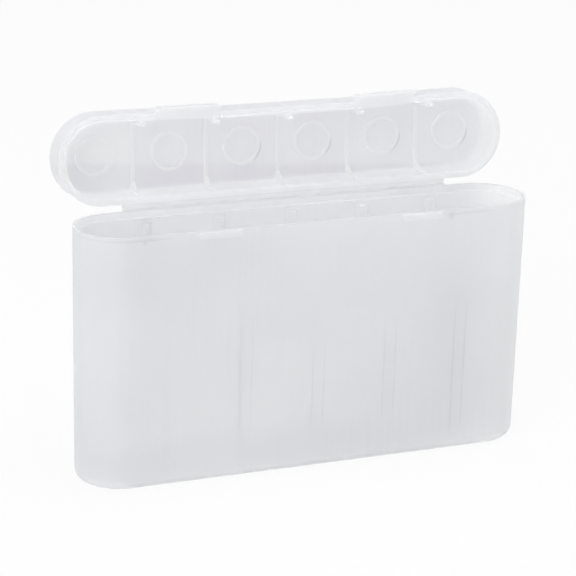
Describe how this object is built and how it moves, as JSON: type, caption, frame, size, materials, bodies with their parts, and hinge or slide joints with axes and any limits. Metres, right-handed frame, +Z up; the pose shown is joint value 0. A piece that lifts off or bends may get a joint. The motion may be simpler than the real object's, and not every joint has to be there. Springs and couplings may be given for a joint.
{
  "type": "battery storage box",
  "caption": "Tall narrow translucent storage box with round ends, divided for a row of round battery cells, with a shallow lid on a film hinge.",
  "frame": {"origin": "middle of the underside of the tub, on the surface it stands on", "axes": "+Z up, +X along the row of cells, -Y the front with the catches, +Y the hinge side"},
  "size_m": [0.126, 0.0361, 0.095],
  "materials": {
    "frosted_tub": "frosted translucent polypropylene, satin outside",
    "frosted_lid": "frosted translucent polypropylene, satin outside",
    "hinge_film": "thin polypropylene film, slightly clearer"
  },
  "bodies": {
    "box": {"box_body": "frosted_tub", "hinge_film": "hinge_film"},
    "lid": {"lid": "frosted_lid"}
  },
  "joints": [
    {"name": "lid_hinge", "type": "hinge", "parent": "box", "child": "lid", "pos_m": [0, 0.01293, 0.06868], "axis": [1, 0, 0], "range_deg": [-85.7, 94.3], "deforming": ["hinge_film"]}
  ]
}
